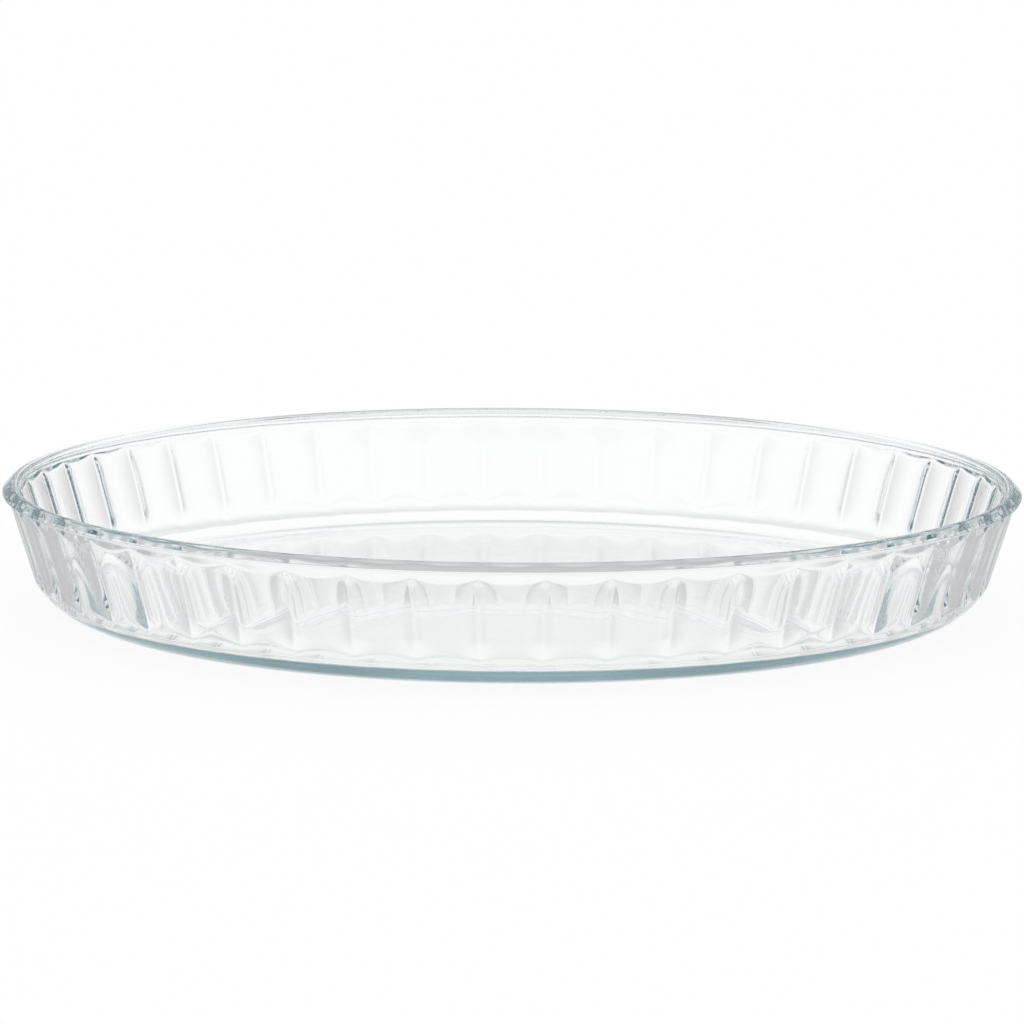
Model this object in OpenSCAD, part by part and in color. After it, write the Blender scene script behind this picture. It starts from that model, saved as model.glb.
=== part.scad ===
// Round fluted flan and pie dish, pressed in one piece from clear glass.
// The dish stands on z = 0 with its axis on Z, and every size is in millimetres.

/* [Overall] */
// Outside diameter of the dish over the edge of its lip
rim_d = 302; // [240:1:340]
// Height of the dish from the table to the top of the lip
dish_h = 38; // [32:0.5:46]
// How far the edge of the flat foot lies inside the rim, on the radius
foot_inset = 26.5; // [24:0.5:29]
// Radius of the turn from the foot up into the wall, outside
corner_r = 20; // [16:0.5:21]

/* [Flutes] */
// Number of flutes round the wall
flute_count = 50; // [40:1:56]
// Radius of the round back of a flute, outside
flute_r = 25; // [22:0.5:32]
// Radius of the shallow hollow of a flute, inside
hollow_r = 70; // [45:1:90]
// How far inside the rim the line of the wall comes up to the edge of the lip
wall_inset = 0.75; // [0.45:0.05:1.2]
// How far the flute backs lie inside that line
flute_inset = 0.3; // [0.2:0.1:0.8]

/* [Glass] */
// Thickness of the wall, from the back of a flute to its hollow
wall_t = 3.4; // [2.8:0.1:4.4]
// Thickness of the floor
floor_t = 4.3; // [3:0.1:5.2]
// Radius of the turn from the floor up into the wall, inside
floor_turn_r = 8; // [6:0.5:14]
// Thickness of the glass where the two turns come closest to each other
turn_t = 1.35; // [1:0.05:3]

/* [Lip] */
// How far the outer edge of the lip lies below its top
lip_drop = 2.6; // [2.3:0.1:3.2]
// Radius of the rounded top of the lip
lip_top_round = 1.6; // [1.2:0.1:1.8]
// Radius of the rounded outer edge of the lip
lip_edge_round = 0.6; // [0.5:0.05:0.8]
// How far below the top the hollows run out into the upright inner face of the lip
lip_face_h = 2.9; // [2.4:0.1:3.1]
// How far the neck under the lip lies inside the rim, on the radius
neck_inset = 2.5; // [2.2:0.1:3.1]
// Height of the neck between the lip's underside and the shoulder of the flutes
neck_h = 0.8; // [0.6:0.1:2]
// Angle at which the shoulder of the flutes falls away from the neck
shoulder_angle = 77; // [50:1:82]

/* [Hidden] */
$fn = 200;

rim_r = rim_d / 2;
foot_r = rim_r - foot_inset;
lip_edge_z = dish_h - lip_drop;
lip_low_z = lip_edge_z - lip_edge_round;
lip_top_z = dish_h - lip_top_round;

// Room that a rough shape keeps beyond the glass, and the lap between slices of one profile.
room = 10;
lap = 1;
above_rim = dish_h + room;

// The line of the wall leaves the foot's turn at a tangent and rises to just inside the lip's edge.
wall_top_r = rim_r - wall_inset;
aim_out = wall_top_r - foot_r;
aim_up = lip_edge_z - corner_r;
aim_length = sqrt(pow(aim_out, 2) + pow(aim_up, 2));
slope = atan2(aim_out, aim_up) - asin(corner_r / aim_length);
turn_end_z = corner_r * (1 - sin(slope));

// Radius of the line along the flute backs, and of the line along the hollows, at a height.
function back_line_r(z) = wall_top_r - flute_inset - (lip_edge_z - z) * tan(slope);
function hollow_line_r(z) = back_line_r(z) - wall_t / cos(slope);

// A flute is a round-faced bar, wider than its share of the rim so that it laps its neighbours.
flute_share = 2 * rim_r * sin(180 / flute_count);
bar_widening = 1.15;
bar_w = flute_share * bar_widening;
bar_depth = 5.5;
bar_lap = 1.5;
bar_run_on = 5;
bar_low_z = -bar_run_on;
bar_high_z = lip_edge_z + bar_run_on;

neck_r = rim_r - neck_inset;
shoulder_z = lip_low_z - neck_h;
shoulder_reach = 2 * room;

// The floor's turn is an arc that leaves the floor level and passes the outer turn at its thickness.
turn_z = floor_t + floor_turn_r;
turn_gap = corner_r - turn_t - floor_turn_r;
floor_r = foot_r + sqrt(pow(turn_gap, 2) - pow(corner_r - turn_z, 2));

// The lip falls from its rounded top to its edge along the line that touches both roundings.
lip_inner_r = hollow_line_r(dish_h - lip_face_h);
lip_top = [lip_inner_r + lip_top_round, lip_top_z];
lip_edge = [rim_r - lip_edge_round, lip_edge_z];
lip_run = lip_top - lip_edge;
lip_normal = atan2(lip_run.y, lip_run.x) - acos((lip_edge_round - lip_top_round) / norm(lip_run));
lip_out = [cos(lip_normal), sin(lip_normal)];

// A loop of bars that lean outwards, with a plain cone inside them that fills the middle.
// face_r is the radius of a bar's round face, and crest_r that of the loop's crests at z = 0.
module fluted_body(face_r, crest_r) {
    core_r = crest_r - bar_depth + bar_lap;
    union() {
        translate([0, 0, bar_low_z])
            cylinder(
                h = bar_high_z - bar_low_z,
                r1 = core_r + bar_low_z * tan(slope),
                r2 = core_r + bar_high_z * tan(slope)
            );
        for (i = [0 : flute_count - 1]) {
            rotate([0, 0, i * 360 / flute_count - 90])
                translate([crest_r, 0, 0])
                    rotate([0, slope, 0])
                        translate([0, 0, bar_low_z / cos(slope)])
                            linear_extrude(height = (bar_high_z - bar_low_z) / cos(slope))
                                bar_section(face_r);
        }
    }
}

// Section of one bar: the outermost slice of a circle, with its crest at the origin.
module bar_section(face_r) {
    intersection() {
        translate([-face_r, 0])
            circle(r = face_r);
        translate([-bar_depth, -bar_w / 2])
            square([bar_depth + lap, bar_w]);
    }
}

// Rough shape of the outside: the flat foot, its round turn, room for the flutes, and the neck.
module outer_envelope() {
    rotate_extrude() {
        difference() {
            union() {
                square([foot_r, corner_r]);
                intersection() {
                    translate([foot_r, corner_r])
                        circle(r = corner_r);
                    translate([foot_r - lap, 0])
                        square([corner_r + 2 * lap, turn_end_z + lap]);
                }
                translate([0, turn_end_z])
                    square([rim_r + room, lip_top_z - turn_end_z]);
            }
            polygon([
                [neck_r, above_rim],
                [neck_r, shoulder_z],
                [neck_r + shoulder_reach, shoulder_z - shoulder_reach * tan(shoulder_angle)],
                [neck_r + shoulder_reach, above_rim]
            ]);
        }
    }
}

// Rough shape of the inside: the flat floor, its turn, and room for the hollows up past the rim.
module inner_envelope() {
    rotate_extrude() {
        translate([0, floor_t])
            square([floor_r, above_rim - floor_t]);
        intersection() {
            translate([floor_r, turn_z])
                circle(r = floor_turn_r);
            translate([floor_r - lap, floor_t - lap])
                square([floor_turn_r + 2 * lap, floor_turn_r + lap]);
        }
        translate([0, turn_z])
            square([rim_r + room, above_rim - turn_z]);
    }
}

// The lip along the rim: upright inside, rounded on top, sloping down to a thin edge, level below.
module lip() {
    rotate_extrude() {
        translate(lip_top)
            circle(r = lip_top_round);
        translate(lip_edge)
            circle(r = lip_edge_round);
        polygon([
            [lip_edge.x, lip_low_z],
            lip_edge + lip_edge_round * lip_out,
            lip_top + lip_top_round * lip_out,
            lip_top,
            [lip_inner_r, lip_top_z],
            [lip_inner_r, lip_low_z]
        ]);
    }
}

// The whole dish, one pressing.
module dish() {
    color([0.78, 0.87, 0.88, 0.45])
        union() {
            difference() {
                intersection() {
                    outer_envelope();
                    fluted_body(flute_r, back_line_r(0));
                }
                intersection() {
                    inner_envelope();
                    fluted_body(hollow_r, hollow_line_r(0));
                }
            }
            lip();
        }
}

dish();
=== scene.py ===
import math

import bmesh
import bpy
from mathutils import Matrix, Vector


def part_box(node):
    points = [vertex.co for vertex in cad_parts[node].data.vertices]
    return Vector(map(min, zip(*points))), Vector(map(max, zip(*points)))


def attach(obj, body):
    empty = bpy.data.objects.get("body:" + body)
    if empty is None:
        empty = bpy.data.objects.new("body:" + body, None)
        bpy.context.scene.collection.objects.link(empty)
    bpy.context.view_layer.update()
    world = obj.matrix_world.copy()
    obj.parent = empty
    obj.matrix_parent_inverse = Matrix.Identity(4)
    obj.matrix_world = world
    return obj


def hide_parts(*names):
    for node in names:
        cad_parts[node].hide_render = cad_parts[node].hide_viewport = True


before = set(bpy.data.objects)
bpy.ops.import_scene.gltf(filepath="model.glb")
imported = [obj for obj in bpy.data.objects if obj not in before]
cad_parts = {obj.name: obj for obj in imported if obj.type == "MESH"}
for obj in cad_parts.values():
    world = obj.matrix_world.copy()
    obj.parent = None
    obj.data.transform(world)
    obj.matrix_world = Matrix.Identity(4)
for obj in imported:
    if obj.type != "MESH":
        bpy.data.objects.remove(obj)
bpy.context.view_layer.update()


# The dish
# A round flan dish, pressed from clear glass in one piece: a flat foot, a round turn, a wall of
# leaning flutes, a shoulder and a neck, and a lip along the rim that slopes down and outwards.
mm = 0.001
low_corner, high_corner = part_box("dish")
rim_r = min(high_corner.x, high_corner.y, -low_corner.x, -low_corner.y)
dish_h = high_corner.z
foot_inset = 26.5 * mm
corner_r = 20 * mm
flute_count = 50
flute_r = 25 * mm
hollow_r = 70 * mm
flute_inset = 0.3 * mm
wall_inset = 0.75 * mm
wall_t = 3.4 * mm
floor_t = 4.3 * mm
floor_turn_r = 8 * mm
turn_t = 1.35 * mm
lip_drop = 2.6 * mm
lip_top_round = 1.6 * mm
lip_edge_round = 0.6 * mm
lip_face_h = 2.9 * mm
neck_inset = 2.5 * mm
neck_h = 0.8 * mm
shoulder_angle = math.radians(77)

foot_r = rim_r - foot_inset
neck_r = rim_r - neck_inset
edge_z = dish_h - lip_drop
lip_low_z = edge_z - lip_edge_round
shoulder_z = lip_low_z - neck_h
flute_angle = math.tau / flute_count

# The wall's line leaves the foot's turn at a tangent and rises to just inside the lip's edge.
aim_out = rim_r - wall_inset - foot_r
aim_up = edge_z - corner_r
slope = math.atan2(aim_out, aim_up) - math.asin(corner_r / math.hypot(aim_out, aim_up))
turn_end_z = corner_r * (1 - math.sin(slope))


def back_line_r(z):
    return rim_r - wall_inset - flute_inset - (edge_z - z) * math.tan(slope)


def hollow_line_r(z):
    return back_line_r(z) - wall_t / math.cos(slope)


lip_inner_r = hollow_line_r(dish_h - lip_face_h)
turn_z = floor_t + floor_turn_r
turn_gap = corner_r - turn_t - floor_turn_r
floor_r = foot_r + math.sqrt(turn_gap**2 - (corner_r - turn_z)**2)

# Fire polish rounds every crease and corner of the pressing a little.
crease_round = 0.35 * mm
ridge_round = 0.7 * mm
corner_round = 0.35 * mm

# The creases outside run out towards the foot and towards the shoulder. A share is of the depth
# that plain bars would give, and a run-out goes from its first height to its second.
middle_share = 0.9
foot_share, foot_run_out = 0.25, (6 * mm, 15 * mm)
shoulder_share, shoulder_run_out = 0.5, (27 * mm, 35 * mm)


def soft_min(a, b, width):
    lap = max(width - abs(a - b), 0) / width
    return min(a, b) - lap * lap * width / 4


def soft_max(a, b, width):
    return -soft_min(-a, -b, width)


def ease(value, start, end, low, high):
    """Goes softly from low to high while the value goes from start to end."""
    share = min(max((value - start) / (end - start), 0), 1)
    return low + (high - low) * share * share * (3 - 2 * share)


def bar_face_r(crest, face_r, angle):
    """Radius at an angle from its crest of a leaning bar with a round face, cut level."""
    long_r = face_r / math.cos(slope)
    across = math.cos(angle)**2 + (math.sin(angle) * long_r / face_r)**2
    middle = math.cos(angle) * (crest - long_r)
    return (middle + math.sqrt(middle**2 - across * (crest**2 - 2 * long_r * crest))) / across


def fluted_r(crest, face_r, angle, rounding):
    """Radius of the loop of bars, where the two nearest bars meet in a rounded crease."""
    here = bar_face_r(crest, face_r, angle)
    beside = bar_face_r(crest, face_r, flute_angle - abs(angle))
    return soft_max(here, beside, rounding)


def turn_r(z, flat_r, centre_z, radius):
    """Radius at a height of a round turn that starts from the edge of a flat at flat_r."""
    return flat_r + math.sqrt(max(radius**2 - (centre_z - z)**2, 0))


def outside_r(z, angle):
    crest = back_line_r(z)
    depth = crest - fluted_r(crest, flute_r, angle, crease_round)
    at_foot = ease(z, *foot_run_out, foot_share, 1)
    at_shoulder = ease(z, *shoulder_run_out, 1, shoulder_share)
    radius = crest - depth * middle_share * min(at_foot, at_shoulder)
    if z < turn_end_z:
        radius = soft_min(radius, turn_r(z, foot_r, corner_r, corner_r), corner_round)
    shoulder = neck_r + max(shoulder_z - z, 0) / math.tan(shoulder_angle)
    return soft_min(radius, shoulder, corner_round)


def inside_r(z, angle):
    radius = fluted_r(hollow_line_r(z), hollow_r, angle, ridge_round)
    if z < turn_z:
        radius = soft_min(radius, turn_r(z, floor_r, turn_z, floor_turn_r), corner_round)
    return soft_min(radius, lip_inner_r, corner_round)


def steps_between(start, end, count):
    return [start + (end - start) * i / count for i in range(1, count + 1)]


# The outline goes from the middle of the underside, up the outside, over the lip and down inside.
# Its points lie closest together where the flutes meet the turns, the shoulder and the lip.
PLAIN, OUTSIDE, INSIDE = 0, 1, 2
flat_lap = 1 * mm
foot_sweep = math.radians(58)
cusp_top_z = 16 * mm
shoulder_low_z = shoulder_z - 3 * mm
shoulder_high_z = shoulder_z + corner_round
outline = [(r, 0, PLAIN) for r in (0, foot_r / 2, foot_r - flat_lap, foot_r)]
for turn in steps_between(0, foot_sweep, 16):
    outline.append((foot_r + corner_r * math.sin(turn), corner_r * (1 - math.cos(turn)), OUTSIDE))
outside_heights = (
    steps_between(outline[-1][1], cusp_top_z, 20)
    + steps_between(cusp_top_z, shoulder_low_z, 6)
    + steps_between(shoulder_low_z, shoulder_high_z, 18)
    + steps_between(shoulder_high_z, lip_low_z, 3)
)
outline += [(outside_r(z, 0), z, OUTSIDE) for z in outside_heights]

# The lip's section: a level underside, a small round edge, a straight slope and the round top.
top_x, top_z = lip_inner_r + lip_top_round, dish_h - lip_top_round
edge_x = rim_r - lip_edge_round
lip_run, lip_rise = top_x - edge_x, top_z - edge_z
facing_down, facing_in = math.radians(-90), math.radians(180)
facing_slope = math.atan2(lip_rise, lip_run) - math.acos(
    (lip_edge_round - lip_top_round) / math.hypot(lip_run, lip_rise)
)
arcs = (
    (edge_x, edge_z, lip_edge_round, facing_down, facing_slope, 10),
    (top_x, top_z, lip_top_round, facing_slope, facing_in, 20),
)
for x, z, radius, start, end, steps in arcs:
    for turn in [start] + steps_between(start, end, steps):
        outline.append((x + radius * math.cos(turn), z + radius * math.sin(turn), PLAIN))

# Inside, the hollows meet the turn to the floor between these two heights.
ridge_top_z = 34 * mm
meet_high_z = 7.5 * mm
meet_low_z = 6 * mm
inside_heights = (
    steps_between(top_z, ridge_top_z, 18)
    + steps_between(ridge_top_z, meet_high_z, 8)
    + steps_between(meet_high_z, meet_low_z, 6)
)
outline += [(inside_r(z, 0), z, INSIDE) for z in inside_heights]
floor_sweep = math.acos((turn_z - meet_low_z) / floor_turn_r)
for turn in steps_between(floor_sweep, 0, 12):
    x, z = floor_r + floor_turn_r * math.sin(turn), turn_z - floor_turn_r * math.cos(turn)
    outline.append((x, z, PLAIN))
outline += [(r, floor_t, PLAIN) for r in (floor_r - flat_lap, floor_r / 2, 0)]

# One flute is spun from crease to crease. Its columns crowd towards the creases, and its rings are
# pushed in to the flute's faces.
columns_per_flute = 12
crowding = 0.75
bm = bmesh.new()
zone = bm.verts.layers.int.new("zone")
line = []
for radius, z, kind in outline:
    vert = bm.verts.new((radius, 0, z))
    vert[zone] = kind
    line.append(vert)
line += [bm.edges.new(pair) for pair in zip(line, line[1:])]
bmesh.ops.spin(
    bm, geom=line, cent=(0, 0, 0), axis=(0, 0, 1), angle=flute_angle, steps=columns_per_flute
)
for vert in bm.verts:
    radius = math.hypot(vert.co.x, vert.co.y)
    share = math.atan2(vert.co.y, vert.co.x) / flute_angle
    moved = share - crowding * math.sin(math.tau * share) / math.tau
    if vert[zone] == OUTSIDE:
        radius = outside_r(vert.co.z, (moved - 0.5) * flute_angle)
    elif vert[zone] == INSIDE:
        radius = inside_r(vert.co.z, (moved - 0.5) * flute_angle)
    vert.co.x = radius * math.cos(moved * flute_angle)
    vert.co.y = radius * math.sin(moved * flute_angle)

# The other flutes are copies of it round the dish.
weld_gap = 0.001 * mm
bmesh.ops.spin(
    bm,
    geom=bm.verts[:] + bm.edges[:] + bm.faces[:],
    cent=(0, 0, 0),
    axis=(0, 0, 1),
    angle=math.tau - flute_angle,
    steps=flute_count - 1,
    use_duplicate=True,
)
bmesh.ops.remove_doubles(bm, verts=bm.verts, dist=weld_gap)
bmesh.ops.recalc_face_normals(bm, faces=bm.faces)
for face in bm.faces:
    face.smooth = True

dish_mesh = bpy.data.meshes.new("pressed_dish")
bm.to_mesh(dish_mesh)
bm.free()
dish = bpy.data.objects.new("pressed_dish", dish_mesh)
bpy.context.scene.collection.objects.link(dish)


def fill(node, values):
    """Gives inputs of a node their number or colour, or links them to another node's output."""
    for name, value in values.items():
        if isinstance(value, bpy.types.NodeSocket):
            links.new(value, node.inputs[name])
        else:
            node.inputs[name].default_value = value


def add(kind, values):
    node = nodes.new("ShaderNode" + kind)
    fill(node, values)
    return node


def calculate(operation, *values):
    node = nodes.new("ShaderNodeMath")
    node.operation = operation
    fill(node, dict(enumerate(values)))
    return node.outputs[0]


def ramp(value, start, end, low, high):
    """Goes from low to high while the value goes from start to end."""
    stops = {"From Min": start, "From Max": end, "To Min": low, "To Max": high}
    return add("MapRange", {"Value": value, **stops})


# Clear glass, fire polished, with faint waves from the mould and a trace of wiping. The tint is in
# the glass itself, so it only shows where light runs a long way through it.
white = (1.0, 1.0, 1.0, 1)
glass_ior = 1.5
glass_tint, tint_density = (0.55, 0.705, 0.745, 1), 10.0
smear_scale, smear_detail = 22.0, 4.0
smear_start, smear_full, smear_roughness = 0.5, 0.8, 0.03
wave_scale, wave_detail = 55.0, 1.0
wave_strength, wave_height = 0.12, 0.2 * mm

glass = bpy.data.materials.new("clear_glass")
glass.use_nodes = True
nodes, links = glass.node_tree.nodes, glass.node_tree.links
place = add("TexCoord", {}).outputs["Object"]
smears = add("TexNoise", {"Vector": place, "Scale": smear_scale, "Detail": smear_detail})
wiped = ramp(smears.outputs["Fac"], smear_start, smear_full, 0.0, smear_roughness)
roughness = wiped.outputs["Result"]

# A few small scuffs on top of the rim, where the photograph shows dark flecks.
scuff_places = ((16.3, 148.1), (96.6, 113.4), (136.0, 60.9), (-88.5, 119.9), (-69.9, 131.6))
scuff_core_r, scuff_edge_r = 0.4 * mm, 1.1 * mm
scuff_roughness = 0.6
for x, y in scuff_places:
    apart = nodes.new("ShaderNodeVectorMath")
    apart.operation = "DISTANCE"
    fill(apart, {0: place, 1: (x * mm, y * mm, dish_h)})
    worn = ramp(apart.outputs["Value"], scuff_core_r, scuff_edge_r, scuff_roughness, 0.0)
    roughness = calculate("MAXIMUM", roughness, worn.outputs["Result"])

waves = add("TexNoise", {"Vector": place, "Scale": wave_scale, "Detail": wave_detail})
ripple = add(
    "Bump", {"Strength": wave_strength, "Distance": wave_height, "Height": waves.outputs["Fac"]}
)
tint = add("VolumeAbsorption", {"Color": glass_tint, "Density": tint_density})
fill(
    nodes["Principled BSDF"],
    {
        "Base Color": white,
        "IOR": glass_ior,
        "Transmission Weight": 1.0,
        "Roughness": roughness,
        "Normal": ripple.outputs["Normal"],
    },
)
fill(nodes["Material Output"], {"Volume": tint.outputs["Volume"]})
dish_mesh.materials.append(glass)

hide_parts("dish")
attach(dish, "root")


# The table
# A plain white sheet under the dish, which takes some of its soft shadow. It is clear to the rays
# that come through the glass or off it, so that the glass shows the white of the studio.
floor_drop = 0.2 * mm
floor_size = 12
paper_white = (0.9, 0.9, 0.9, 1)
glow_share = 0.9
bpy.ops.mesh.primitive_plane_add(size=floor_size, location=(0, 0, -floor_drop))
floor = bpy.context.object
floor.name = "floor"
paper = bpy.data.materials.new("white_paper")
paper.use_nodes = True
nodes, links = paper.node_tree.nodes, paper.node_tree.links


def mix_shaders(share, first, second):
    node = add("MixShader", {0: share, 1: first, 2: second})
    return node.outputs["Shader"]


lit = nodes["Principled BSDF"]
fill(lit, {"Base Color": paper_white, "Roughness": 1.0, "Specular IOR Level": 0.0})
glow = add("Emission", {"Strength": 1.0})
clear = add("BsdfTransparent", {})
ray = add("LightPath", {}).outputs
seen = calculate("MULTIPLY", ray["Is Camera Ray"], glow_share)
by_glass = calculate("MAXIMUM", ray["Is Glossy Ray"], ray["Is Transmission Ray"])
sheet = mix_shaders(seen, lit.outputs["BSDF"], glow.outputs["Emission"])
fill(nodes["Material Output"], {"Surface": mix_shaders(by_glass, sheet, clear.outputs["BSDF"])})
floor.data.materials.append(paper)


# The light
# A white studio all round. It is brightest behind the dish, level with the view, and dimmer to the
# sides and steeply below, so that the glass shows its edges and creases.
world = bpy.data.worlds.new("studio")
bpy.context.scene.world = world
world.use_nodes = True
nodes, links = world.node_tree.nodes, world.node_tree.links


def fade(angle, start, end, low, high):
    """Fades softly from low to high while the angle goes from start to end, in degrees."""
    node = ramp(angle, math.radians(start), math.radians(end), low, high)
    node.interpolation_type = "SMOOTHSTEP"
    return node.outputs["Result"]


def choose(share, low, high):
    return add("Mix", {"Factor": share, "A": low, "B": high}).outputs["Result"]


# A direction is told by its angle aside from straight behind the dish, and by its height.
to_sky = add("SeparateXYZ", {0: add("TexCoord", {}).outputs["Generated"]}).outputs
aside = calculate("ARCTAN2", calculate("ABSOLUTE", to_sky["X"]), to_sky["Y"])
height = calculate("ARCSINE", to_sky["Z"])

# Below the horizon a dim screen stands on either side of the bright backdrop, and a dim ring lies
# round a bright middle straight below.
bright = 1.0
screen, screen_starts, screen_ends, past_screens = 0.56, (5, 22), (50, 66), 0.95
ring, ring_top, ring_bottom, inside_ring = 0.52, (-42, -31), (-64, -56), 0.88
inner_side = fade(aside, *screen_starts, bright, screen)
outer_side = fade(aside, *screen_ends, screen, past_screens)
screens = calculate("MAXIMUM", inner_side, outer_side)
straight_below = fade(height, *ring_bottom, inside_ring, ring)
steep = calculate("MAXIMUM", fade(height, *ring_top, ring, bright), straight_below)
below = calculate("MAXIMUM", calculate("MINIMUM", screens, steep), straight_below)

# Above it are a faint band along the horizon, a dim strip on either side, and a dark wall high up
# behind the viewer, under a lit roof.
band, band_bottom, band_top, past_band = 0.82, (0, 8), (8, 13), 0.96
strip, strip_starts, strip_ends = 0.6, (4.5, 13), (15, 30)
dark_wall, wall_starts, wall_bottom = 0.2, (100, 120), (24, 30)
roof, roof_edge = 0.9, (44, 50)
low_sky = fade(height, *band_bottom, bright, band)
high_sky = fade(height, *band_top, band, past_band)
inner_strip = fade(aside, *strip_starts, bright, strip)
outer_strip = fade(aside, *strip_ends, strip, bright)
sky = calculate(
    "MULTIPLY",
    calculate("MAXIMUM", low_sky, high_sky),
    calculate("MAXIMUM", inner_strip, outer_strip),
)
by_viewer = fade(aside, *wall_starts, 0.0, 1.0)
back_wall = choose(by_viewer, bright, fade(height, *wall_bottom, bright, dark_wall))
lit_roof = fade(height, *roof_edge, 0.0, roof)
above = calculate("MAXIMUM", calculate("MINIMUM", sky, back_wall), lit_roof)

# The table is lit evenly, a little over white, which keeps the shadow on it faint.
horizon = (-3, 0)
table_light = 1.1
studio = choose(fade(height, *horizon, 0.0, 1.0), below, above)
to_table = add("LightPath", {}).outputs["Is Diffuse Ray"]
fill(nodes["Background"], {"Color": white, "Strength": choose(to_table, studio, table_light)})


# The camera
# The photograph's view: from the front and a little above, from far off with a long lens.
frame_px = 1024
focal_px = 7090
sensor_w = 36
view_elevation = math.radians(9.151)
view_roll = math.radians(0.316)
fitted_r = 0.150
view_distance = 14.04 * fitted_r
aim_height = 0.1889 * fitted_r
camera_data = bpy.data.cameras.new("camera")
camera = bpy.data.objects.new("camera", camera_data)
bpy.context.scene.collection.objects.link(camera)
bpy.context.scene.camera = camera
camera_data.sensor_width = sensor_w
camera_data.lens = focal_px / frame_px * sensor_w
back_along = Vector((0, -math.cos(view_elevation), math.sin(view_elevation)))
camera.location = back_along * view_distance + Vector((0, 0, aim_height))
camera.rotation_euler = (
    Matrix.Rotation(math.radians(90) - view_elevation, 4, "X") @ Matrix.Rotation(view_roll, 4, "Z")
).to_euler()

# Light crosses many glass faces in a lip or a crease before it comes out.
glass_bounces = 128
bpy.context.scene.view_settings.view_transform = "Standard"
bpy.context.scene.cycles.max_bounces = glass_bounces
bpy.context.scene.cycles.transmission_bounces = glass_bounces
bpy.context.scene.cycles.glossy_bounces = glass_bounces
